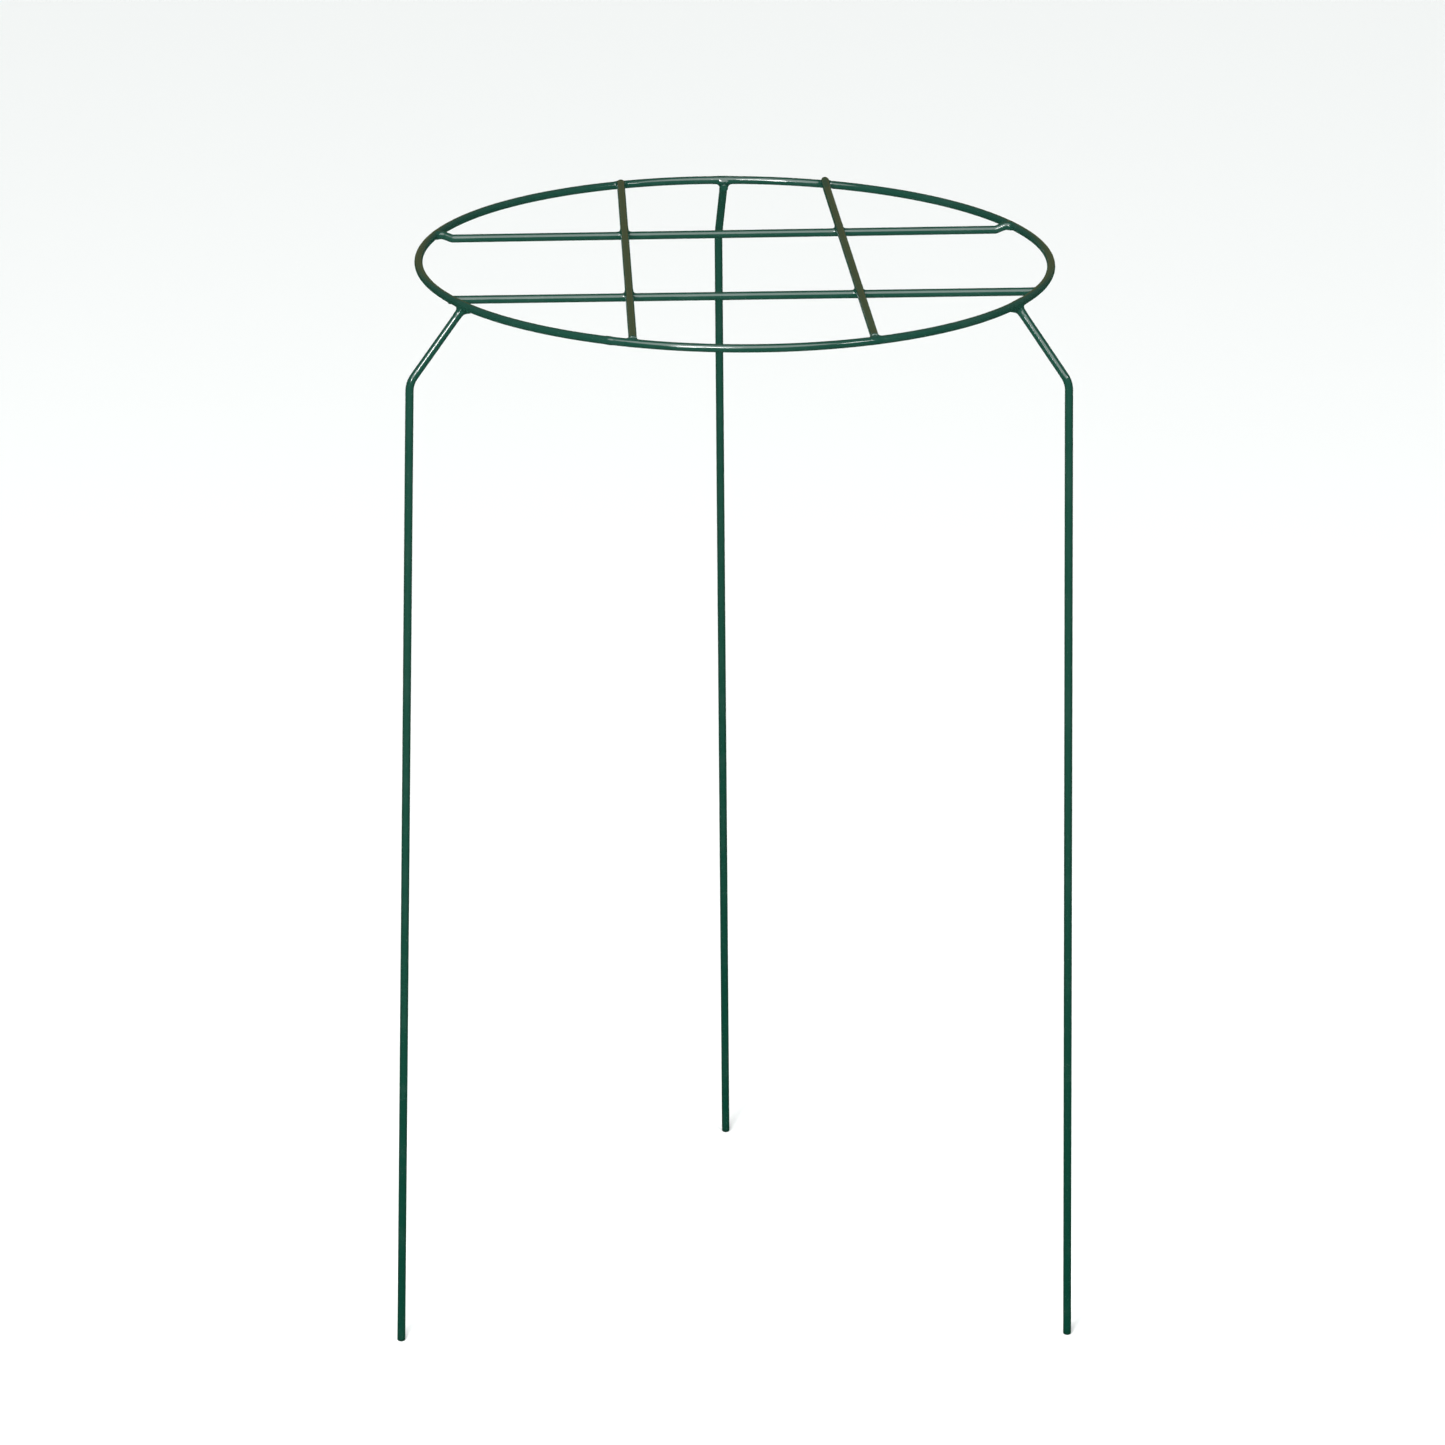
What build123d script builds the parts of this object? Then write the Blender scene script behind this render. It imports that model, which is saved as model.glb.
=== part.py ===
from build123d import *
import os
from math import cos, degrees, radians, sin, sqrt

# A grow-through plant support: a wire hoop with a two-by-two wire grid, carried on three stake legs.
# Each of the eight wires is a steel core in a green plastic coat. All joints are resistance welds.
# Millimetres. +Z is up and the feet stand on Z = 0. +Y points to the rear leg.

# Driving dimensions
HOOP_RADIUS = 200.0           # to the wire's axis
HOOP_HEIGHT = 685.0           # hoop axis above the ground
CORE_RADIUS = 2.2             # 4.4 mm steel wire
COAT_THICKNESS = 0.4          # plastic over the steel
WELD_SETDOWN = 0.4            # how far two welded cores are pressed into each other
END_ROUNDING = 0.9            # edge of the coat over a cut wire end

# Wires of the grid, measured from the hoop's axis. Offsets are across the wire, skews are in plan.
LOWER_LAYER_DROP = 2.4        # left-right wires, below the hoop axis
REAR_WIRE = {"offset": 74.0, "skew": 3.0}
FRONT_WIRE = {"offset": -72.5, "skew": 2.5}
LEFT_WIRE = {"offset": -68.5, "skew": -0.2, "rear_rise": 0.0, "front_rise": 0.0}
RIGHT_WIRE = {"offset": 72.5, "skew": 2.1, "rear_rise": 1.2, "front_rise": 0.0}
REAR_WIRE_RISE = 2.4          # its ends are cranked up to the hoop's inner side
CRANK_START = 11.0            # from the hoop axis to where the rear wire's crank begins
CRANK_END = 5.0
CRANK_BEND_RADIUS = 3.2
BUTTED_END_GAP = 1.6          # from the hoop axis to the wires' cut ends, pressed into its inner side
RAMP_START = 22.0             # a front-back wire's end rises between these two distances
RAMP_END = 6.0
RAMP_BEND_RADIUS = 30.0

# Legs: plan angle of the weld, then sideways shifts (anticlockwise) at the shoulder and the foot.
LEGS = {
    "leg_left": {"angle": 210.0, "shoulder_shift": -3.5, "foot_shift": 0.0, "foot_radius": 247.5},
    "leg_right": {"angle": 330.0, "shoulder_shift": 0.0, "foot_shift": 3.0, "foot_radius": 247.0},
    "leg_rear": {"angle": 90.0, "shoulder_shift": 2.0, "foot_shift": -7.5, "foot_radius": 241.5},
}
LEG_TIP_RADIUS = 194.0        # the tip's end, inside the hoop
LEG_NECK_RADIUS = 200.5       # where the tip turns down into the shoulder
LEG_TIP_DROP = 3.7            # tip axis below the hoop axis
LEG_WELD_RADIUS = 199.0
LEG_SHOULDER_RADIUS = 235.6
LEG_SHOULDER_DROP = 46.2
LEG_NECK_BEND = 6.0
LEG_SHOULDER_BEND = 14.0
FOOT_ALLOWANCE = 20.0         # extra leg below the ground, before the feet are cut level

# Welds and the webs of coat around them
HOOP_BUTT_ANGLE = 245.0       # plan angle of the hoop's own butt weld
HOOP_BUTT_LENGTH = 2.0
HOOP_BUTT_SWELL = 0.25        # the coat stands proud over it
WEB_RIM_SHARE = 0.45          # rim radius of each web's disc, as a share of its height
WEB_TURN = 25.0               # keeps the seam of each web's disc clear of the wires
NUGGET_RADIUS = 2.1
CROSSING_WEB = {"radius": 4.1, "height": 2.4}
LEG_WEB = {"radius": 5.2, "height": 3.4}

# Worked-out dimensions
COAT_RADIUS = CORE_RADIUS + COAT_THICKNESS
LAYER_STEP = 2 * CORE_RADIUS - WELD_SETDOWN
LOWER_Z = HOOP_HEIGHT - LOWER_LAYER_DROP
UPPER_Z = LOWER_Z + LAYER_STEP


def plan(along, across, angle):
    """Plan point at a distance along and to the left of a line through the hoop axis."""
    a = radians(angle)
    return along * cos(a) - across * sin(a), along * sin(a) + across * cos(a)


def reach(across):
    """Half the chord of the hoop's axis circle at this offset."""
    return sqrt(HOOP_RADIUS ** 2 - across ** 2)


def wire(points, bend_radii, radius):
    """Round wire along straight runs joined by arcs."""
    if bend_radii:
        path = FilletPolyline(*points, radius=bend_radii)
    else:
        path = Line(*points)
    section = Plane(origin=path @ 0, z_dir=path % 0) * Circle(radius)
    return sweep(section, path=path)


def stretched(points, length):
    """The same run of points with both ends moved outwards."""
    ends = [Vector(*p) for p in points]
    ends[0] += (ends[0] - ends[1]).normalized() * length
    ends[-1] += (ends[-1] - ends[-2]).normalized() * length
    return ends


def round_ends(solid, ends):
    """Round the rim of the coat over each cut end."""
    rims = []
    for end in ends:
        rims.append(solid.edges().filter_by(GeomType.CIRCLE).sort_by_distance(end)[0])
    return fillet(rims, END_ROUNDING)


def coated_wire(points, bend_radii):
    """A wire's core, the outside of its coat, and the coat itself, which covers both cut ends."""
    core = wire(points, bend_radii, CORE_RADIUS)
    longer = stretched(points, COAT_THICKNESS)
    outside = round_ends(wire(longer, bend_radii, COAT_RADIUS), (longer[0], longer[-1]))
    return core, outside, outside - core


def grid_wire_points(spec, stations, direction):
    """Points of a grid wire, given as (distance along the wire, height)."""
    angle = spec["skew"] + direction
    across = spec["offset"] if direction == 0 else -spec["offset"]
    return [(*plan(along, across, angle), z) for along, z in stations]


def left_right_wire(spec, rise):
    half = reach(spec["offset"])
    if rise:
        stations = [
            (-half + BUTTED_END_GAP, LOWER_Z + rise),
            (-half + CRANK_END, LOWER_Z + rise),
            (-half + CRANK_START, LOWER_Z),
            (half - CRANK_START, LOWER_Z),
            (half - CRANK_END, LOWER_Z + rise),
            (half - BUTTED_END_GAP, LOWER_Z + rise),
        ]
        bends = [CRANK_BEND_RADIUS] * 4
    else:
        stations = [(-half + BUTTED_END_GAP, LOWER_Z), (half - BUTTED_END_GAP, LOWER_Z)]
        bends = None
    return coated_wire(grid_wire_points(spec, stations, 0), bends)


def front_back_wire(spec):
    half = reach(spec["offset"])
    stations = [(-half + BUTTED_END_GAP, UPPER_Z + spec["front_rise"])]
    if spec["front_rise"]:
        stations.append((-half + RAMP_END, UPPER_Z + spec["front_rise"]))
        stations.append((-half + RAMP_START, UPPER_Z))
    if spec["rear_rise"]:
        stations.append((half - RAMP_START, UPPER_Z))
        stations.append((half - RAMP_END, UPPER_Z + spec["rear_rise"]))
    stations.append((half - BUTTED_END_GAP, UPPER_Z + spec["rear_rise"]))
    bends = [RAMP_BEND_RADIUS] * (len(stations) - 2)
    return coated_wire(grid_wire_points(spec, stations, 90), bends)


def leg_wire(spec):
    """A stake leg: short tip under the hoop, sloping shoulder, long straight leg cut level."""
    angle = spec["angle"]
    tip_z = HOOP_HEIGHT - LEG_TIP_DROP
    foot_z = -FOOT_ALLOWANCE
    shoulder_z = HOOP_HEIGHT - LEG_SHOULDER_DROP
    run_on = (shoulder_z - foot_z) / shoulder_z
    foot_r = LEG_SHOULDER_RADIUS + (spec["foot_radius"] - LEG_SHOULDER_RADIUS) * run_on
    foot_s = spec["shoulder_shift"] + (spec["foot_shift"] - spec["shoulder_shift"]) * run_on
    points = [
        (*plan(LEG_TIP_RADIUS, 0, angle), tip_z),
        (*plan(LEG_NECK_RADIUS, 0, angle), tip_z),
        (*plan(LEG_SHOULDER_RADIUS, spec["shoulder_shift"], angle), shoulder_z),
        (*plan(foot_r, foot_s, angle), foot_z),
    ]
    bends = [LEG_NECK_BEND, LEG_SHOULDER_BEND]
    core = wire(points, bends, CORE_RADIUS)
    outside = wire(stretched(points, COAT_THICKNESS), bends, COAT_RADIUS)
    ground = 4 * HOOP_RADIUS
    below = Box(ground, ground, 2 * FOOT_ALLOWANCE, align=(Align.CENTER, Align.CENTER, Align.MAX))
    core -= Pos(0, 0, COAT_THICKNESS) * below
    outside -= below
    sole = outside.faces().sort_by(Axis.Z)[0].edges()
    outside = fillet(sole, END_ROUNDING)
    tip = stretched(points, COAT_THICKNESS)[0]
    outside = round_ends(outside, (tip,))
    return core, outside, outside - core


def ring(section, start, span):
    """Part of a ring with this section, about the hoop's vertical axis."""
    placed = Pos(HOOP_RADIUS, 0, 0) * Rot(90, 0, 0) * section
    return Pos(0, 0, HOOP_HEIGHT) * Rot(0, 0, start) * revolve(placed, Axis.Z, span)


def hoop_wire():
    """The hoop's open core, the outside of its coat, and the coat, then the butt weld and its web."""
    span = degrees(HOOP_BUTT_LENGTH / HOOP_RADIUS)
    core = ring(Circle(CORE_RADIUS), HOOP_BUTT_ANGLE + span, 360 - span)
    outside = ring(Circle(COAT_RADIUS), 0, 360)
    coat = ring(Circle(COAT_RADIUS) - Circle(CORE_RADIUS), HOOP_BUTT_ANGLE + span, 360 - span)
    weld = ring(Circle(CORE_RADIUS), HOOP_BUTT_ANGLE, span)
    web_section = Circle(COAT_RADIUS + HOOP_BUTT_SWELL) - Circle(CORE_RADIUS)
    weld_web = ring(web_section, HOOP_BUTT_ANGLE, span)
    return (core, outside, coat), weld, weld_web


def web(spec):
    """Disc of pooled coat with a round rim, before the wires are taken out of it."""
    disc = Cylinder(spec["radius"], spec["height"])
    rims = disc.edges().filter_by(GeomType.CIRCLE)
    return fillet(rims, spec["height"] * WEB_RIM_SHARE)


def crossing_point(lower, upper):
    """Plan point where a left-right wire's line meets a front-back wire's line."""
    a = radians(lower["skew"])
    b = radians(upper["skew"])
    x0, y0 = plan(0, lower["offset"], lower["skew"])
    x1, y1 = plan(0, -upper["offset"], upper["skew"] + 90)
    dx, dy = -sin(b), cos(b)
    t = ((x0 - x1) * sin(a) - (y0 - y1) * cos(a)) / (dx * sin(a) - dy * cos(a))
    return x1 + dx * t, y1 + dy * t


def cut(shapes, tools):
    """The solids that are left when every tool has been taken out of these shapes."""
    tool_solids = [solid for tool in tools for solid in tool.solids()]
    left = []
    for shape in shapes:
        for solid in shape.solids():
            left.extend((solid - tool_solids).solids() if tool_solids else [solid])
    return left


def build():
    hoop, butt_weld, butt_web = hoop_wire()

    lower_specs = {"cross_wire_rear": REAR_WIRE, "cross_wire_front": FRONT_WIRE}
    upper_specs = {"cross_wire_left": LEFT_WIRE, "cross_wire_right": RIGHT_WIRE}
    rises = {"cross_wire_rear": REAR_WIRE_RISE, "cross_wire_front": 0.0}
    lower = {name: left_right_wire(spec, rises[name]) for name, spec in lower_specs.items()}
    upper = {name: front_back_wire(spec) for name, spec in upper_specs.items()}
    legs = {name: leg_wire(spec) for name, spec in LEGS.items()}
    wires = {"hoop": hoop, **lower, **upper, **legs}
    layers = ["hoop", *lower, *upper, *legs]

    def touching(name):
        if name == "hoop":
            return [*lower, *upper, *legs]
        if name in lower:
            return ["hoop", *upper]
        if name in upper:
            return ["hoop", *lower]
        return ["hoop"]

    # Where one wire lies on another: (wires, plan point and height of the weld, its web)
    joints = {"crossing": [], "leg": []}
    for low, low_spec in lower_specs.items():
        for up, up_spec in upper_specs.items():
            x, y = crossing_point(low_spec, up_spec)
            spot = (x, y, LOWER_Z + LAYER_STEP / 2)
            joints["crossing"].append(((low, up), spot, CROSSING_WEB))
    for leg, spec in LEGS.items():
        spot = (*plan(LEG_WELD_RADIUS, 0, spec["angle"]), HOOP_HEIGHT - LEG_TIP_DROP / 2)
        joints["leg"].append((("hoop", leg), spot, LEG_WEB))

    parts = {}
    nuggets = []
    for kind, spots in joints.items():
        steel = []
        coat = []
        for pair, spot, web_spec in spots:
            beads = cut([Pos(*spot) * Sphere(NUGGET_RADIUS)], [wires[n][0] for n in pair])
            steel.extend(beads)
            nuggets.extend((pair, bead) for bead in beads)
            pool = Pos(*spot) * Rot(0, 0, WEB_TURN) * web(web_spec)
            coat.extend(cut(cut([pool], [wires[n][1] for n in pair]), beads))
        parts[f"{kind}_welds"] = steel
        parts[f"{kind}_coat_webs"] = coat

    for name in layers:
        core, _, shell = wires[name]
        earlier = [n for n in touching(name) if layers.index(n) < layers.index(name)]
        parts[f"{name}_core"] = cut([core], [wires[n][0] for n in earlier])
        coat = cut([shell], [wires[n][0] for n in touching(name)])
        coat = cut(coat, [wires[n][1] for n in earlier])
        parts[f"{name}_coat"] = cut(coat, [bead for pair, bead in nuggets if name in pair])
    parts["hoop_butt_weld"] = butt_weld.solids()
    parts["hoop_butt_coat_web"] = butt_web.solids()
    return parts


def export(parts):
    os.makedirs("parts", exist_ok=True)
    centre = Compound([solid for solids in parts.values() for solid in solids]).bounding_box().center()
    print(f"hoop axis at x {-centre.X:.4f}, y {-centre.Y:.4f}")
    for name, solids in parts.items():
        placed = [Pos(-centre.X, -centre.Y, 0) * solid for solid in solids]
        export_step(placed[0] if len(placed) == 1 else Compound(placed), f"parts/{name}.step")
        print(name, len(placed), round(sum(solid.volume for solid in placed), 2))


export(build())
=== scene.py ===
from math import cos, pi, radians, sin, sqrt

import bmesh
import bpy
import numpy as np
from mathutils import Matrix, Vector


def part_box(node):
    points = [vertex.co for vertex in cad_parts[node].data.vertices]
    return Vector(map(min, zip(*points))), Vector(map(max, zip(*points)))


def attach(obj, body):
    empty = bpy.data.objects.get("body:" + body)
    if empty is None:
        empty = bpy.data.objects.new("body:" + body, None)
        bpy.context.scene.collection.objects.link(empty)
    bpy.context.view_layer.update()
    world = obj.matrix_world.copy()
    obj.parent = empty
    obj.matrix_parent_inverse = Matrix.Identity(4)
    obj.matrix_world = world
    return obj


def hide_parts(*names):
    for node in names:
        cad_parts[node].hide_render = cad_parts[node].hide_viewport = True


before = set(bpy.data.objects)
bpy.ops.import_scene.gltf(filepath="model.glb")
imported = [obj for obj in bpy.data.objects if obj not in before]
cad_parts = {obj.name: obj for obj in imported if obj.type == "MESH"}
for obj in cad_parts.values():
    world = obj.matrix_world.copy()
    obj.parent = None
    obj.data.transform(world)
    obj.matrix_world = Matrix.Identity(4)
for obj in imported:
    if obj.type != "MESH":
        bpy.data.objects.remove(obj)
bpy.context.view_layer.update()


# ---------------------------------------------------------------------------------------------
# Steel inside the wires. Drawn low-carbon wire, 4.4 mm thick, cut and bent cold. The coat hides
# it, but the cores stay in the model, with the fine lines that the drawing die leaves.

steel_colour = (0.46, 0.46, 0.47, 1)
steel_stain = (0.30, 0.27, 0.25, 1)

wire_steel = bpy.data.materials.new("drawn_wire_steel")
wire_steel.use_nodes = True
nodes, links = wire_steel.node_tree.nodes, wire_steel.node_tree.links
steel_shader = nodes["Principled BSDF"]
steel_shader.inputs["Metallic"].default_value = 1.0
place = nodes.new("ShaderNodeTexCoord")
stain = nodes.new("ShaderNodeTexNoise")
stain.inputs["Scale"].default_value = 60.0
stain.inputs["Detail"].default_value = 4.0
stain_mix = nodes.new("ShaderNodeMix")
stain_mix.data_type = "RGBA"
stain_mix.inputs["A"].default_value = steel_colour
stain_mix.inputs["B"].default_value = steel_stain
die_lines = nodes.new("ShaderNodeTexNoise")
die_lines.inputs["Scale"].default_value = 1800.0
line_height = nodes.new("ShaderNodeBump")
line_height.inputs["Strength"].default_value = 0.3
line_height.inputs["Distance"].default_value = 0.00003
rough_range = nodes.new("ShaderNodeMapRange")
rough_range.inputs["To Min"].default_value = 0.28
rough_range.inputs["To Max"].default_value = 0.5
links.new(place.outputs["Object"], stain.inputs["Vector"])
links.new(place.outputs["Object"], die_lines.inputs["Vector"])
links.new(stain.outputs["Fac"], stain_mix.inputs["Factor"])
links.new(stain_mix.outputs["Result"], steel_shader.inputs["Base Color"])
links.new(stain.outputs["Fac"], rough_range.inputs["Value"])
links.new(rough_range.outputs["Result"], steel_shader.inputs["Roughness"])
links.new(die_lines.outputs["Fac"], line_height.inputs["Height"])
links.new(line_height.outputs["Normal"], steel_shader.inputs["Normal"])

wire_names = ["cross_wire_rear", "cross_wire_front", "cross_wire_left", "cross_wire_right"]
leg_names = ["leg_left", "leg_right", "leg_rear"]
for name in ["hoop"] + wire_names + leg_names:
    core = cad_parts[name + "_core"]
    core.data.materials.clear()
    core.data.materials.append(wire_steel)


# ---------------------------------------------------------------------------------------------
# Welds. Where wires touch, a resistance welder has fused them and squeezed a little steel out.
# The heat leaves it darker and bluer than the wire, and rougher.

weld_steel = wire_steel.copy()
weld_steel.name = "heat_blued_weld"
weld_mix = next(n for n in weld_steel.node_tree.nodes if n.bl_idname == "ShaderNodeMix")
weld_mix.inputs["A"].default_value = (0.16, 0.17, 0.21, 1)
weld_mix.inputs["B"].default_value = (0.24, 0.18, 0.13, 1)
weld_range = next(n for n in weld_steel.node_tree.nodes if n.bl_idname == "ShaderNodeMapRange")
weld_range.inputs["To Min"].default_value = 0.45
weld_range.inputs["To Max"].default_value = 0.7
for name in ["hoop_butt_weld", "crossing_welds", "leg_welds"]:
    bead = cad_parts[name]
    bead.data.materials.clear()
    bead.data.materials.append(weld_steel)


# ---------------------------------------------------------------------------------------------
# Coat on the hoop. The welded frame is heated and dipped, and comes out with one skin of dark
# green plastic, 0.4 mm thick, smooth and glossy, with faint waves where it ran and cooled.

low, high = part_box("hoop_coat")
coat_radius = (high.z - low.z) / 2
hoop_centre = (low + high) / 2
hoop_radius = (high.x - low.x) / 2 - coat_radius
coat_green = (0.0055, 0.036, 0.024, 1)
# Painted shade: the darker, more saturated green that the coat takes towards the ground
low_painted_shade_green = (0.0006, 0.028, 0.017, 1)
coat_bloom = (0.016, 0.054, 0.040, 1)


def coat_surface_group():
    """Colour, roughness and height of dipped plastic: painted shade towards the ground, waves,
    orange peel, bloom and dust specks.
    """
    group = bpy.data.node_groups.new("dipped_coat_surface", "ShaderNodeTree")
    for label, kind in (("Upper", "NodeSocketColor"), ("Painted Shade Low", "NodeSocketColor"),
                        ("Bloom", "NodeSocketColor"), ("Bloom Amount", "NodeSocketFloat"),
                        ("Gloss", "NodeSocketFloat"), ("Fade Height", "NodeSocketFloat")):
        group.interface.new_socket(label, in_out="INPUT", socket_type=kind)
    for label, kind in (("Colour", "NodeSocketColor"), ("Roughness", "NodeSocketFloat"),
                        ("Height", "NodeSocketFloat")):
        group.interface.new_socket(label, in_out="OUTPUT", socket_type=kind)
    n, wire_up = group.nodes, group.links.new
    given = n.new("NodeGroupInput")
    result = n.new("NodeGroupOutput")
    where = n.new("ShaderNodeTexCoord")

    # Painted shade: deeper and more saturated towards the ground, darker low down where less light
    # falls
    split = n.new("ShaderNodeSeparateXYZ")
    fade = n.new("ShaderNodeMapRange")
    fade.interpolation_type = "SMOOTHSTEP"
    fade.inputs["From Min"].default_value = 0.0
    painted_shade_by_height = n.new("ShaderNodeMix")
    painted_shade_by_height.data_type = "RGBA"
    wire_up(where.outputs["Object"], split.inputs["Vector"])
    wire_up(split.outputs["Z"], fade.inputs["Value"])
    wire_up(given.outputs["Fade Height"], fade.inputs["From Max"])
    wire_up(fade.outputs["Result"], painted_shade_by_height.inputs["Factor"])
    wire_up(given.outputs["Painted Shade Low"], painted_shade_by_height.inputs["A"])
    wire_up(given.outputs["Upper"], painted_shade_by_height.inputs["B"])

    # Pale bloom and dust lie in patches
    patches = n.new("ShaderNodeTexNoise")
    patches.inputs["Scale"].default_value = 45.0
    patches.inputs["Detail"].default_value = 5.0
    patches.inputs["Roughness"].default_value = 0.65
    patch_range = n.new("ShaderNodeMapRange")
    patch_range.inputs["From Min"].default_value = 0.48
    patch_range.inputs["From Max"].default_value = 0.78
    amount = n.new("ShaderNodeMath")
    amount.operation = "MULTIPLY"
    bloomed = n.new("ShaderNodeMix")
    bloomed.data_type = "RGBA"
    wire_up(where.outputs["Object"], patches.inputs["Vector"])
    wire_up(patches.outputs["Fac"], patch_range.inputs["Value"])
    wire_up(patch_range.outputs["Result"], amount.inputs[0])
    wire_up(given.outputs["Bloom Amount"], amount.inputs[1])
    wire_up(amount.outputs["Value"], bloomed.inputs["Factor"])
    wire_up(painted_shade_by_height.outputs["Result"], bloomed.inputs["A"])
    wire_up(given.outputs["Bloom"], bloomed.inputs["B"])

    # Fine dust specks
    specks = n.new("ShaderNodeTexVoronoi")
    specks.inputs["Scale"].default_value = 420.0
    speck_range = n.new("ShaderNodeMapRange")
    speck_range.inputs["From Min"].default_value = 0.10
    speck_range.inputs["From Max"].default_value = 0.05
    speck_range.inputs["To Max"].default_value = 0.30
    speckled = n.new("ShaderNodeMix")
    speckled.data_type = "RGBA"
    speckled.inputs["B"].default_value = (0.20, 0.24, 0.20, 1)
    wire_up(where.outputs["Object"], specks.inputs["Vector"])
    wire_up(specks.outputs["Distance"], speck_range.inputs["Value"])
    wire_up(speck_range.outputs["Result"], speckled.inputs["Factor"])
    wire_up(bloomed.outputs["Result"], speckled.inputs["A"])
    wire_up(speckled.outputs["Result"], result.inputs["Colour"])

    # Duller where it has bloomed
    dull = n.new("ShaderNodeMath")
    dull.operation = "MULTIPLY_ADD"
    dull.inputs[1].default_value = 0.16
    wire_up(patch_range.outputs["Result"], dull.inputs[0])
    wire_up(given.outputs["Gloss"], dull.inputs[2])
    wire_up(dull.outputs["Value"], result.inputs["Roughness"])

    # Orange peel over longer waves
    peel = n.new("ShaderNodeTexNoise")
    peel.inputs["Scale"].default_value = 900.0
    peel.inputs["Detail"].default_value = 2.0
    waves = n.new("ShaderNodeTexNoise")
    waves.inputs["Scale"].default_value = 210.0
    height = n.new("ShaderNodeMath")
    height.operation = "MULTIPLY_ADD"
    height.inputs[1].default_value = 0.35
    wire_up(where.outputs["Object"], peel.inputs["Vector"])
    wire_up(where.outputs["Object"], waves.inputs["Vector"])
    wire_up(peel.outputs["Fac"], height.inputs[0])
    wire_up(waves.outputs["Fac"], height.inputs[2])
    wire_up(height.outputs["Value"], result.inputs["Height"])
    return group


dipped_surface = coat_surface_group()


def coat_material(name, bloom_amount, gloss):
    """Green plastic for one part of the frame, with its own amount of bloom and gloss."""
    material = bpy.data.materials.new(name)
    material.use_nodes = True
    tree = material.node_tree
    shader = tree.nodes["Principled BSDF"]
    shader.inputs["IOR"].default_value = 1.5
    shader.inputs["Coat Weight"].default_value = 0.35
    shader.inputs["Coat Roughness"].default_value = 0.07
    surface = tree.nodes.new("ShaderNodeGroup")
    surface.node_tree = dipped_surface
    surface.inputs["Upper"].default_value = coat_green
    # Painted shade towards the ground, below the fade height
    surface.inputs["Painted Shade Low"].default_value = low_painted_shade_green
    surface.inputs["Bloom"].default_value = coat_bloom
    surface.inputs["Bloom Amount"].default_value = bloom_amount
    surface.inputs["Gloss"].default_value = gloss
    surface.inputs["Fade Height"].default_value = 0.5
    bump = tree.nodes.new("ShaderNodeBump")
    bump.inputs["Strength"].default_value = 0.25
    bump.inputs["Distance"].default_value = 0.0001
    tree.links.new(surface.outputs["Colour"], shader.inputs["Base Color"])
    tree.links.new(surface.outputs["Roughness"], shader.inputs["Roughness"])
    tree.links.new(surface.outputs["Height"], bump.inputs["Height"])
    tree.links.new(bump.outputs["Normal"], shader.inputs["Normal"])
    return material


def coated_wire_tree():
    """Geometry Nodes: a round tube along a curve, its skin a little uneven, both ends closed."""
    tree = bpy.data.node_groups.new("coated_wire", "GeometryNodeTree")
    tree.interface.new_socket("Curve", in_out="INPUT", socket_type="NodeSocketGeometry")
    for label, kind, value in (("Coat Radius", "NodeSocketFloat", coat_radius),
                               ("Sides", "NodeSocketInt", 28),
                               ("Unevenness", "NodeSocketFloat", 0.00002),
                               ("Seed", "NodeSocketInt", 1)):
        socket = tree.interface.new_socket(label, in_out="INPUT", socket_type=kind)
        socket.default_value = value
    tree.interface.new_socket("Coat", in_out="INPUT", socket_type="NodeSocketMaterial")
    tree.interface.new_socket("Mesh", in_out="OUTPUT", socket_type="NodeSocketGeometry")
    n, wire_up = tree.nodes, tree.links.new
    given = n.new("NodeGroupInput")
    section = n.new("GeometryNodeCurvePrimitiveCircle")
    own_radius = n.new("GeometryNodeInputRadius")
    tube = n.new("GeometryNodeCurveToMesh")
    tube.inputs["Fill Caps"].default_value = True
    wobble = n.new("ShaderNodeTexNoise")
    wobble.noise_dimensions = "4D"
    wobble.inputs["Scale"].default_value = 70.0
    centred = n.new("ShaderNodeMath")
    centred.operation = "SUBTRACT"
    centred.inputs[1].default_value = 0.6
    amount = n.new("ShaderNodeMath")
    amount.operation = "MULTIPLY"
    outward = n.new("GeometryNodeInputNormal")
    push = n.new("ShaderNodeVectorMath")
    push.operation = "SCALE"
    move = n.new("GeometryNodeSetPosition")
    smooth = n.new("GeometryNodeSetShadeSmooth")
    real = n.new("GeometryNodeRealizeInstances")
    dress = n.new("GeometryNodeSetMaterial")
    result = n.new("NodeGroupOutput")
    wire_up(given.outputs["Sides"], section.inputs["Resolution"])
    wire_up(given.outputs["Coat Radius"], section.inputs["Radius"])
    wire_up(given.outputs["Curve"], tube.inputs["Curve"])
    wire_up(section.outputs["Curve"], tube.inputs["Profile Curve"])
    wire_up(own_radius.outputs["Radius"], tube.inputs["Scale"])
    wire_up(given.outputs["Seed"], wobble.inputs["W"])
    wire_up(wobble.outputs["Fac"], centred.inputs[0])
    wire_up(centred.outputs["Value"], amount.inputs[0])
    wire_up(given.outputs["Unevenness"], amount.inputs[1])
    wire_up(outward.outputs["Normal"], push.inputs[0])
    wire_up(amount.outputs["Value"], push.inputs["Scale"])
    wire_up(tube.outputs["Mesh"], move.inputs["Geometry"])
    wire_up(push.outputs["Vector"], move.inputs["Offset"])
    wire_up(move.outputs["Geometry"], smooth.inputs["Geometry"])
    wire_up(smooth.outputs["Geometry"], real.inputs["Geometry"])
    wire_up(real.outputs["Geometry"], dress.inputs["Geometry"])
    wire_up(given.outputs["Coat"], dress.inputs["Material"])
    wire_up(dress.outputs["Geometry"], result.inputs["Mesh"])
    return tree


wire_tree = coated_wire_tree()
merge_distance = 0.000005


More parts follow.
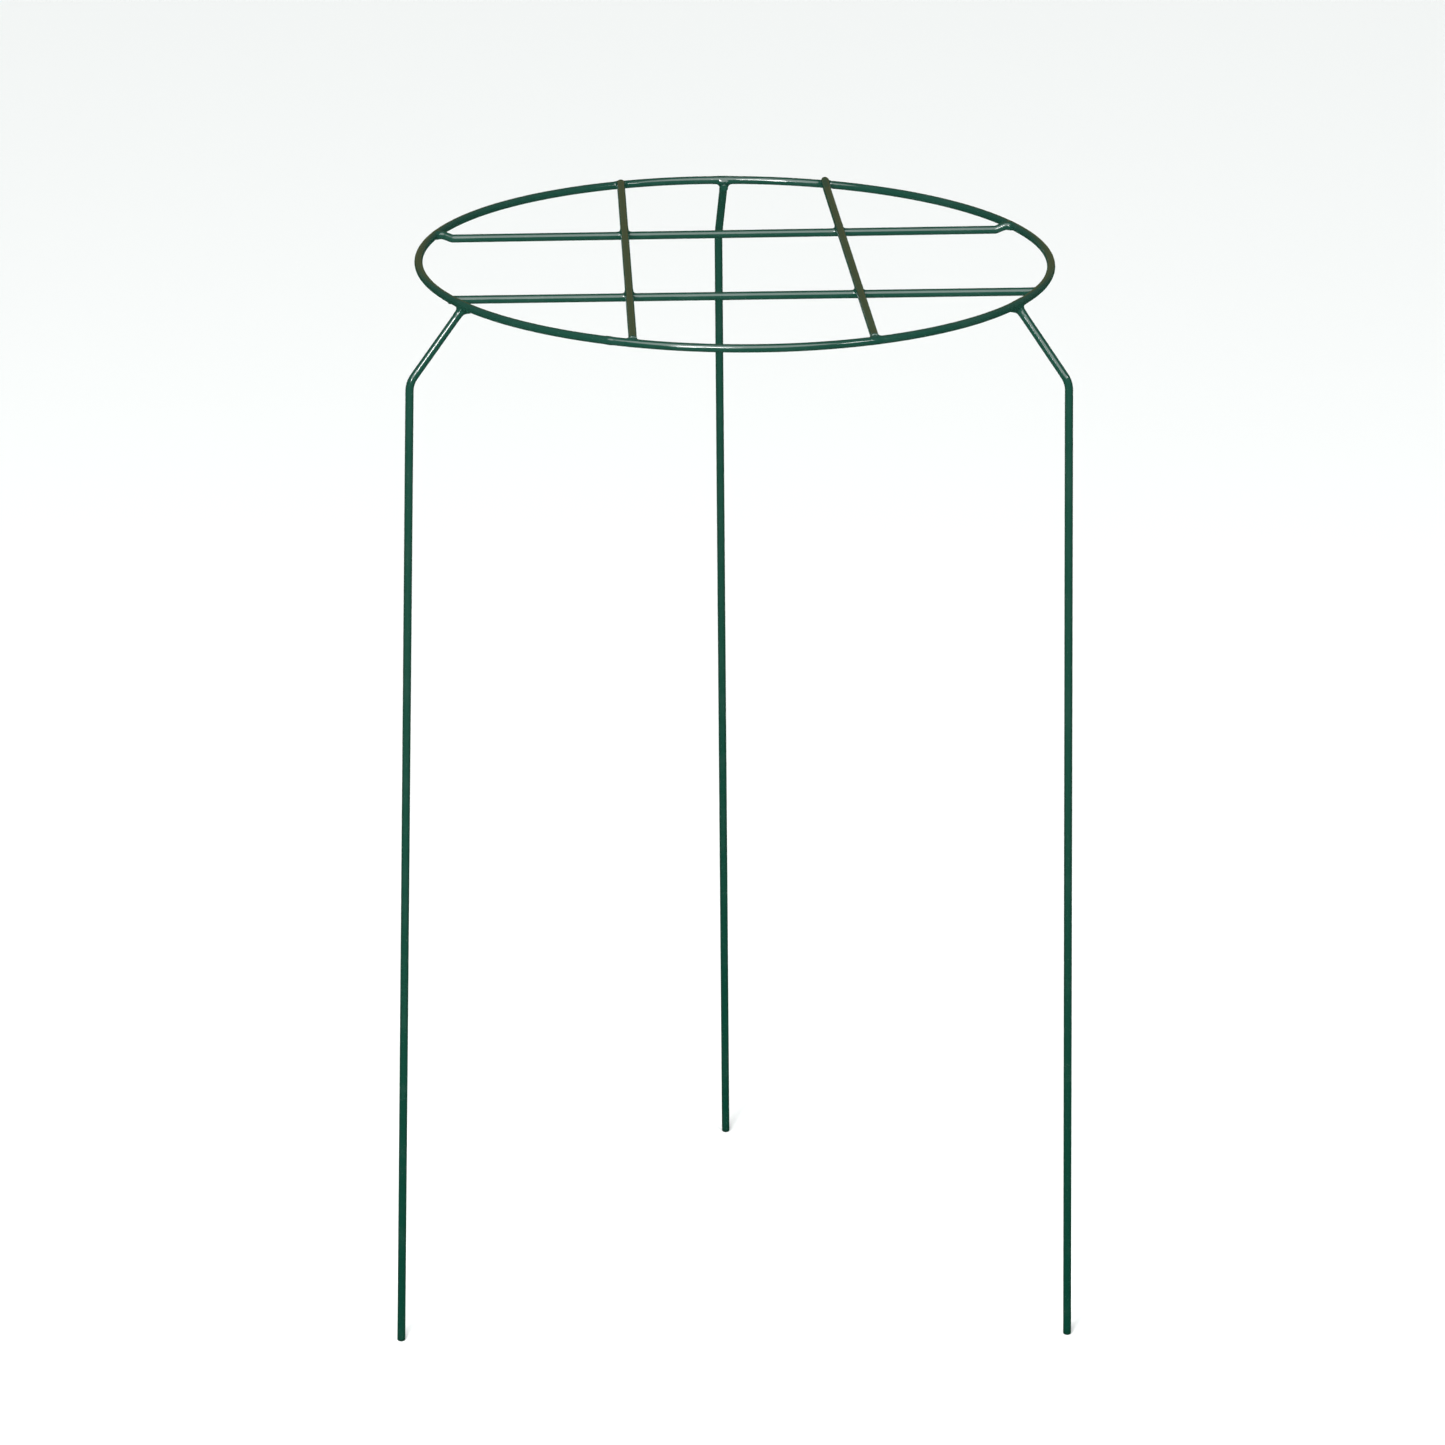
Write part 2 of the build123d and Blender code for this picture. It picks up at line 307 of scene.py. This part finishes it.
def coated_wire(name, path, thickness, seed, material, closed=False):
    """A closed mesh of one coated wire; thickness is each point's share of the coat radius."""
    line = bpy.data.curves.new(name + "_line", "CURVE")
    line.dimensions = "3D"
    spline = line.splines.new("POLY")
    spline.points.add(len(path) - 1)
    for point, place, share in zip(spline.points, path, thickness):
        point.co = (*place, 1)
        point.radius = share
    spline.use_cyclic_u = closed
    maker = bpy.data.objects.new(name + "_maker", line)
    bpy.context.scene.collection.objects.link(maker)
    nodes_modifier = maker.modifiers.new("coat", "NODES")
    nodes_modifier.node_group = wire_tree
    sockets = {s.name: s.identifier for s in wire_tree.interface.items_tree if s.in_out == "INPUT"}
    nodes_modifier[sockets["Seed"]] = seed
    nodes_modifier[sockets["Coat"]] = material
    bpy.context.view_layer.update()
    ready = maker.evaluated_get(bpy.context.evaluated_depsgraph_get())
    mesh = bpy.data.meshes.new_from_object(ready)
    bpy.data.objects.remove(maker)
    shape = bmesh.new()
    shape.from_mesh(mesh)
    bmesh.ops.remove_doubles(shape, verts=shape.verts, dist=merge_distance)
    bmesh.ops.recalc_face_normals(shape, faces=shape.faces)
    shape.to_mesh(mesh)
    shape.free()
    mesh.name = name
    piece = bpy.data.objects.new(name, mesh)
    bpy.context.scene.collection.objects.link(piece)
    return piece


hoop_material = coat_material("hoop_coat_plastic", 0.45, 0.13)
hoop_steps = 360
hoop_path = []
for i in range(hoop_steps):
    turn = 2 * pi * i / hoop_steps
    hoop_path.append(hoop_centre + hoop_radius * Vector((cos(turn), sin(turn), 0)))
hoop_piece = coated_wire("hoop", hoop_path, [1] * hoop_steps, 11, hoop_material, closed=True)
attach(hoop_piece, "root")
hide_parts("hoop_coat")


# ---------------------------------------------------------------------------------------------
# Four grid wires. Two run left to right, half a wire below the hoop's middle, and two run front
# to back on top of them. Every cut end is pressed into the hoop's inner side, the rear wire's
# after a crank upwards, and the coat rounds it.

core_radius = (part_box("hoop_core")[1].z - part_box("hoop_core")[0].z) / 2
coat_cover = coat_radius - core_radius
end_rounding = 0.0009
rounding_steps = 5
lower_drop = 0.0024
layer_step = 0.0040
lower_z = hoop_centre.z - lower_drop
upper_z = lower_z + layer_step
butted_gap = 0.0016
crank_top_inset, crank_foot_inset, crank_bend = 0.005, 0.011, 0.0032
rise_foot_inset, rise_top_inset, rise_bend = 0.022, 0.006, 0.030
grid_wires = {
    "cross_wire_rear": {"offset": 0.0740, "skew": 3.0},
    "cross_wire_front": {"offset": -0.0725, "skew": 2.5},
    "cross_wire_left": {"offset": -0.0685, "skew": -0.2, "rear_rise": 0.0},
    "cross_wire_right": {"offset": 0.0725, "skew": 2.1, "rear_rise": 0.0012},
}


def plan_point(along, across, angle, z):
    """A place given along and to the left of a line through the hoop's axis."""
    a = radians(angle)
    x = along * cos(a) - across * sin(a)
    y = along * sin(a) + across * cos(a)
    return Vector((hoop_centre.x + x, hoop_centre.y + y, z))


def bent_path(corners, bend_radii, arc_steps=9):
    """Straight runs joined by arcs, as a list of points."""
    path = [corners[0]]
    for before, corner, after, radius in zip(corners, corners[1:], corners[2:], bend_radii):
        into = (corner - before).normalized()
        out = (after - corner).normalized()
        turn = into.angle(out)
        tangent = radius * np.tan(turn / 2)
        start = corner - into * tangent
        centre = start + (out - into * into.dot(out)).normalized() * radius
        spoke = start - centre
        axis = into.cross(out).normalized()
        for i in range(arc_steps + 1):
            path.append(centre + Matrix.Rotation(turn * i / arc_steps, 3, axis) @ spoke)
    path.append(corners[-1])
    return path


def with_runs(path, longest=0.006):
    """The same path with long runs divided, so that the skin can wave along them."""
    divided = [path[0]]
    for a, b in zip(path, path[1:]):
        count = max(1, round((b - a).length / longest))
        divided.extend(a.lerp(b, i / count) for i in range(1, count + 1))
    return divided


def capped(path):
    """Path and thickness of a wire whose two cut ends have a rounded rim."""
    head_points, foot_points, rim_shares = [], [], []
    for i in range(rounding_steps):
        turn = pi / 2 * i / rounding_steps
        inset = end_rounding * (1 - sin(turn))
        depth = end_rounding - inset
        head_points.append(path[0].lerp(path[1], depth / (path[1] - path[0]).length))
        foot_points.append(path[-1].lerp(path[-2], depth / (path[-2] - path[-1]).length))
        rim_shares.append((coat_radius - end_rounding * (1 - cos(pi / 2 - turn))) / coat_radius)
    middle = with_runs(path)
    rim = end_rounding * 1.01
    while (middle[0] - path[0]).length < rim:
        middle.pop(0)
    while (middle[-1] - path[-1]).length < rim:
        middle.pop()
    points = head_points + middle + foot_points[::-1]
    return points, rim_shares + [1] * len(middle) + rim_shares[::-1]


def grid_corners(name):
    """Corners of a grid wire's axis and the bend radii between them."""
    spec = grid_wires[name]
    half = sqrt(hoop_radius ** 2 - spec["offset"] ** 2)
    butted = half - butted_gap + coat_cover
    bends = []
    if "rear_rise" in spec:
        risen = upper_z + spec["rear_rise"]
        stations = [(-butted, upper_z), (butted, risen)]
        if spec["rear_rise"]:
            stations[1:1] = [(half - rise_foot_inset, upper_z), (half - rise_top_inset, risen)]
            bends = [rise_bend] * 2
        return [plan_point(x, -spec["offset"], spec["skew"] + 90, z) for x, z in stations], bends
    end = [(butted, lower_z)]
    if name == "cross_wire_rear":
        end = [(butted, hoop_centre.z), (half - crank_top_inset, hoop_centre.z),
               (half - crank_foot_inset, lower_z)]
        bends = [crank_bend] * 4
    stations = [(-x, z) for x, z in end] + end[::-1]
    return [plan_point(x, spec["offset"], spec["skew"], z) for x, z in stations], bends


grid_material = coat_material("grid_coat_plastic", 0.45, 0.14)
grid_paths = {}
for seed, name in enumerate(wire_names):
    corners, bends = grid_corners(name)
    grid_paths[name] = bent_path(corners, bends)
    path, shares = capped(grid_paths[name])
    piece = coated_wire(name, path, shares, 20 + seed, grid_material)
    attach(piece, "root")
    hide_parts(name + "_coat")


# ---------------------------------------------------------------------------------------------
# Three stake legs. Each is one wire: a short tip welded under the hoop, a shoulder that slopes
# outwards, and a long straight leg with its foot cut level. None of them stands quite true.

legs = {
    "leg_left": {"angle": 210, "shoulder_shift": -0.0035, "foot_shift": 0.0, "foot": 0.2475},
    "leg_right": {"angle": 330, "shoulder_shift": 0.0, "foot_shift": 0.0030, "foot": 0.2470},
    "leg_rear": {"angle": 90, "shoulder_shift": 0.0020, "foot_shift": -0.0075, "foot": 0.2415},
}
tip_radius = 0.1940 - coat_cover
neck_radius = 0.2005
shoulder_radius = 0.2356
tip_z = hoop_centre.z - 0.0037
shoulder_z = hoop_centre.z - 0.0462
neck_bend, shoulder_bend = 0.006, 0.014

leg_material = coat_material("leg_coat_plastic", 0.35, 0.13)
leg_paths = {}
for seed, name in enumerate(leg_names):
    spec = legs[name]
    angle = spec["angle"]
    corners = [
        plan_point(tip_radius, 0, angle, tip_z),
        plan_point(neck_radius, 0, angle, tip_z),
        plan_point(shoulder_radius, spec["shoulder_shift"], angle, shoulder_z),
        plan_point(spec["foot"], spec["foot_shift"], angle, 0),
    ]
    leg_paths[name] = bent_path(corners, [neck_bend, shoulder_bend])
    path, shares = capped(leg_paths[name])
    piece = coated_wire(name, path, shares, 30 + seed, leg_material)
    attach(piece, "root")
    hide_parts(name + "_coat")


# ---------------------------------------------------------------------------------------------
# Webs of coat at the joints. The hot plastic pools in the corners between two wires that touch,
# and leaves a smooth fillet round every weld, which thins out along the wires to nothing.

web_material = coat_material("pooled_coat_plastic", 0.30, 0.08)
path_spacing = 0.0006
seed_balls_every = 3
seed_share = 0.98
skin_voxel = 0.00042
fit_rounds = 6
longest_move = 0.0004
end_sink = 0.0003
cut_end_reach = 0.0005


def distance_to_path(points, path):
    """Distance of each point from the nearest run of a path."""
    starts = np.array([p[:] for p in path[:-1]])
    runs = np.array([p[:] for p in path[1:]]) - starts
    lengths = (runs ** 2).sum(1)
    apart = points[:, None, :] - starts[None]
    share = np.clip((apart * runs[None]).sum(2) / lengths[None], 0, 1)
    return np.linalg.norm(apart - share[..., None] * runs[None], axis=2).min(1)


def near(path, centre, radius):
    """The run of a path that passes within a radius of the centre, divided finely."""
    return [p for p in with_runs(path, path_spacing) if (p - centre).length < radius]


def past_cut_ends(points, path):
    """How far each point lies beyond a path's flat ends, from a little inside them."""
    beyond = np.full(len(points), -1.0)
    for end, inner in ((path[0], path[1]), (path[-1], path[-2])):
        out = (end - inner).normalized()
        past = (points - np.array(end[:])) @ np.array(out[:]) + cut_end_reach
        beyond = np.maximum(beyond, past)
    return beyond


def pooled_web(centre, path_a, path_b, fillet, arm, swell):
    """Closed lump round two wires: their smooth union, swollen at the weld and thin at its ends."""
    parts = [near(path_a, centre, arm), near(path_b, centre, arm)]
    shape = bmesh.new()
    for part in parts:
        for p in part[::seed_balls_every]:
            bmesh.ops.create_icosphere(shape, subdivisions=2, radius=coat_radius * seed_share,
                                       matrix=Matrix.Translation(p))
    mesh = bpy.data.meshes.new("web_seed")
    shape.to_mesh(mesh)
    shape.free()
    seed = bpy.data.objects.new("web_seed", mesh)
    bpy.context.scene.collection.objects.link(seed)
    remesh = seed.modifiers.new("skin", "REMESH")
    remesh.mode = "VOXEL"
    remesh.voxel_size = skin_voxel
    bpy.context.view_layer.update()
    ready = seed.evaluated_get(bpy.context.evaluated_depsgraph_get())
    skin = bpy.data.meshes.new_from_object(ready)
    bpy.data.objects.remove(seed)
    co = np.empty(len(skin.vertices) * 3)
    skin.vertices.foreach_get("co", co)
    co = co.reshape(-1, 3)
    middle = np.array(centre[:])

    def height(p):
        a = distance_to_path(p, parts[0])
        b = np.maximum(distance_to_path(p, parts[1]), past_cut_ends(p, path_b) + coat_radius)
        mixed = np.clip(0.5 + 0.5 * (b - a) / fillet, 0, 1)
        union = b * (1 - mixed) + a * mixed - fillet * mixed * (1 - mixed)
        out = np.clip(np.linalg.norm(p - middle, axis=1) / arm, 0, 1)
        return union - coat_radius - swell * (1 - out ** 2) + end_sink * out ** 6

    # Slide each point along the slope until it lies on the web's own surface
    probe = 1e-5
    for _ in range(fit_rounds):
        here = height(co)
        slope = np.stack([(height(co + probe * axis) - here) / probe for axis in np.eye(3)], 1)
        steepness = np.maximum((slope ** 2).sum(1), 0.2)
        co -= np.clip(here / steepness, -longest_move, longest_move)[:, None] * slope
    skin.vertices.foreach_set("co", co.ravel())
    skin.update()
    return skin


def web_group(name, joints, replaced=None):
    """One piece holding the separate webs of like joints."""
    shape = bmesh.new()
    for joint in joints:
        lump = pooled_web(*joint)
        shape.from_mesh(lump)
        bpy.data.meshes.remove(lump)
    bmesh.ops.recalc_face_normals(shape, faces=shape.faces)
    for face in shape.faces:
        face.smooth = True
    mesh = bpy.data.meshes.new(name)
    shape.to_mesh(mesh)
    shape.free()
    mesh.materials.append(web_material)
    piece = bpy.data.objects.new(name, mesh)
    bpy.context.scene.collection.objects.link(piece)
    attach(piece, "root")
    if replaced:
        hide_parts(replaced)


def line_crossing(lower, upper):
    """Plan place where two grid wires cross, at the height of their weld."""
    a, b = radians(grid_wires[lower]["skew"]), radians(grid_wires[upper]["skew"])
    p, q = grid_wires[lower]["offset"], grid_wires[upper]["offset"]
    matrix = np.array([[-sin(a), cos(a)], [cos(b), sin(b)]])
    x, y = np.linalg.solve(matrix, (p, q))
    return Vector((hoop_centre.x + x, hoop_centre.y + y, (lower_z + upper_z) / 2))


# Fillet, reach along the wires and swelling at the weld, for each kind of joint
crossing_pool = (0.0022, 0.008, 0.00008)
wire_end_pool = (0.0020, 0.008, 0.00006)
leg_pool = (0.0032, 0.011, 0.00018)
hoop_loop = hoop_path + hoop_path[:1]

crossings = []
for low_name in wire_names[:2]:
    for top_name in wire_names[2:]:
        centre = line_crossing(low_name, top_name)
        crossings.append((centre, grid_paths[low_name], grid_paths[top_name], *crossing_pool))
web_group("crossing_webs", crossings, "crossing_coat_webs")

wire_ends = []
for name in wire_names:
    for end in (grid_paths[name][0], grid_paths[name][-1]):
        out = Vector((end.x - hoop_centre.x, end.y - hoop_centre.y, 0)).normalized()
        centre = hoop_centre + out * (hoop_radius - coat_radius / 2)
        centre.z = (hoop_centre.z + end.z) / 2
        wire_ends.append((centre, hoop_loop, grid_paths[name], *wire_end_pool))
web_group("wire_end_webs", wire_ends)

leg_joints = []
for name in leg_names:
    centre = plan_point(hoop_radius - 0.001, 0, legs[name]["angle"], (hoop_centre.z + tip_z) / 2)
    leg_joints.append((centre, hoop_loop, leg_paths[name], *leg_pool))
web_group("leg_webs", leg_joints, "leg_coat_webs")


# ---------------------------------------------------------------------------------------------
# Hoop joint. The ring's two ends are butt-welded, and the coat runs a little thicker over it.

butt_low, butt_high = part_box("hoop_butt_coat_web")
butt = (butt_low + butt_high) / 2 - hoop_centre
butt_turn = np.arctan2(butt.y, butt.x)
butt_half_angle = 0.0045 / hoop_radius
butt_end_share, butt_swell = 0.985, 0.085
butt_steps = 24
butt_path, butt_shares = [], []
for i in range(butt_steps + 1):
    share = i / butt_steps * 2 - 1
    turn = butt_turn + butt_half_angle * share
    butt_path.append(hoop_centre + hoop_radius * Vector((cos(turn), sin(turn), 0)))
    butt_shares.append(butt_end_share + butt_swell * (1 - share ** 2) ** 2)
butt_piece = coated_wire("hoop_butt_web", butt_path, butt_shares, 41, web_material)
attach(butt_piece, "root")
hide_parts("hoop_butt_coat_web")


# ---------------------------------------------------------------------------------------------
# Floor, light and camera. A pale seamless studio floor, a big soft light from the front and
# above, three small softboxes for the streaks on the wires, and a long lens above the hoop. In
# glossy reflections the floor is dark, as the ground under a garden support is.

floor_edge = 15.0
floor_mesh = bpy.data.meshes.new("studio_floor")
floor_mesh.from_pydata([(-floor_edge, -floor_edge, 0), (floor_edge, -floor_edge, 0),
                        (floor_edge, floor_edge, 0), (-floor_edge, floor_edge, 0)],
                       [], [(0, 1, 2, 3)])
floor = bpy.data.objects.new("studio_floor", floor_mesh)
bpy.context.scene.collection.objects.link(floor)
paper = bpy.data.materials.new("pale_paper")
paper.use_nodes = True
nodes, links = paper.node_tree.nodes, paper.node_tree.links
paper_shader = nodes["Principled BSDF"]
paper_shader.inputs["Roughness"].default_value = 0.9
paper_shader.inputs["Specular IOR Level"].default_value = 0.0
ray = nodes.new("ShaderNodeLightPath")
seen = nodes.new("ShaderNodeMix")
seen.data_type = "RGBA"
seen.inputs["A"].default_value = (0.93, 0.93, 0.93, 1)
seen.inputs["B"].default_value = (0.030, 0.075, 0.045, 1)
links.new(ray.outputs["Is Glossy Ray"], seen.inputs["Factor"])
links.new(seen.outputs["Result"], paper_shader.inputs["Base Color"])
floor_mesh.materials.append(paper)

world = bpy.data.worlds.new("studio_air")
bpy.context.scene.world = world
world.use_nodes = True
nodes, links = world.node_tree.nodes, world.node_tree.links
air = nodes["Background"]
direction = nodes.new("ShaderNodeTexCoord")
rise = nodes.new("ShaderNodeSeparateXYZ")
walls = nodes.new("ShaderNodeValToRGB")
walls.color_ramp.elements[0].position = 0.0
walls.color_ramp.elements[0].color = (0.070, 0.085, 0.065, 1)
walls.color_ramp.elements[1].position = 0.8
walls.color_ramp.elements[1].color = (0.12, 0.15, 0.145, 1)
back_wall = nodes.new("ShaderNodeMapRange")
back_wall.inputs["From Min"].default_value = 0.80
back_wall.inputs["From Max"].default_value = 0.96
warmed = nodes.new("ShaderNodeMix")
warmed.data_type = "RGBA"
warmed.inputs["B"].default_value = (0.17, 0.13, 0.050, 1)
links.new(direction.outputs["Generated"], rise.inputs["Vector"])
links.new(rise.outputs["Z"], walls.inputs["Fac"])
links.new(rise.outputs["Y"], back_wall.inputs["Value"])
links.new(back_wall.outputs["Result"], warmed.inputs["Factor"])
links.new(walls.outputs["Color"], warmed.inputs["A"])
links.new(warmed.outputs["Result"], air.inputs["Color"])
bpy.context.scene.view_settings.view_transform = "Standard"

scrim_lamp = bpy.data.lights.new("front_scrim", "SUN")
scrim_lamp.energy = 3.2
scrim_lamp.angle = radians(66)
scrim = bpy.data.objects.new("front_scrim", scrim_lamp)
bpy.context.scene.collection.objects.link(scrim)
scrim.rotation_euler = (radians(40), 0, radians(-8))


def strip_light(name, bearing, wide, high, watts):
    """A softbox three metres from the hoop along a bearing, aimed at it."""
    lamp = bpy.data.lights.new(name, "AREA")
    lamp.shape = "RECTANGLE"
    lamp.size = wide
    lamp.size_y = high
    lamp.energy = watts
    holder = bpy.data.objects.new(name, lamp)
    bpy.context.scene.collection.objects.link(holder)
    away = Vector(bearing).normalized()
    aimed = (-away).to_track_quat("-Z", "Y").to_matrix().to_4x4()
    holder.matrix_world = Matrix.Translation(hoop_centre + 3 * away) @ aimed


strip_light("front_left_softbox", (-0.19, -0.82, 0.50), 0.9, 0.28, 60)
strip_light("right_softbox", (0.59, -0.64, 0.49), 0.5, 0.22, 14)
strip_light("low_front_softbox", (-0.30, -0.90, 0.26), 0.35, 0.30, 24)

camera_distance = 26.4118 * hoop_radius
camera_rise = radians(15.396)
camera_down = radians(18.564)
camera_side = radians(2.19)
camera_turn = radians(2.126)
camera_roll = radians(0.415)
lens_data = bpy.data.cameras.new("camera")
lens_data.lens = 207.7
lens_data.sensor_width = 36.0
lens_data.clip_end = 100.0
camera = bpy.data.objects.new("camera", lens_data)
bpy.context.scene.collection.objects.link(camera)
flat = camera_distance * cos(camera_rise)
stand = hoop_centre + Vector((-flat * sin(camera_side), -flat * cos(camera_side),
                              camera_distance * sin(camera_rise)))
ahead = Vector((sin(camera_turn) * cos(camera_down), cos(camera_turn) * cos(camera_down),
                -sin(camera_down)))
right = Vector((cos(camera_turn), -sin(camera_turn), 0))
up = right.cross(ahead)
rolled_right = cos(camera_roll) * right + sin(camera_roll) * up
rolled_up = cos(camera_roll) * up - sin(camera_roll) * right
turned = Matrix((rolled_right, rolled_up, -ahead)).transposed().to_4x4()
camera.matrix_world = Matrix.Translation(stand) @ turned
bpy.context.scene.camera = camera
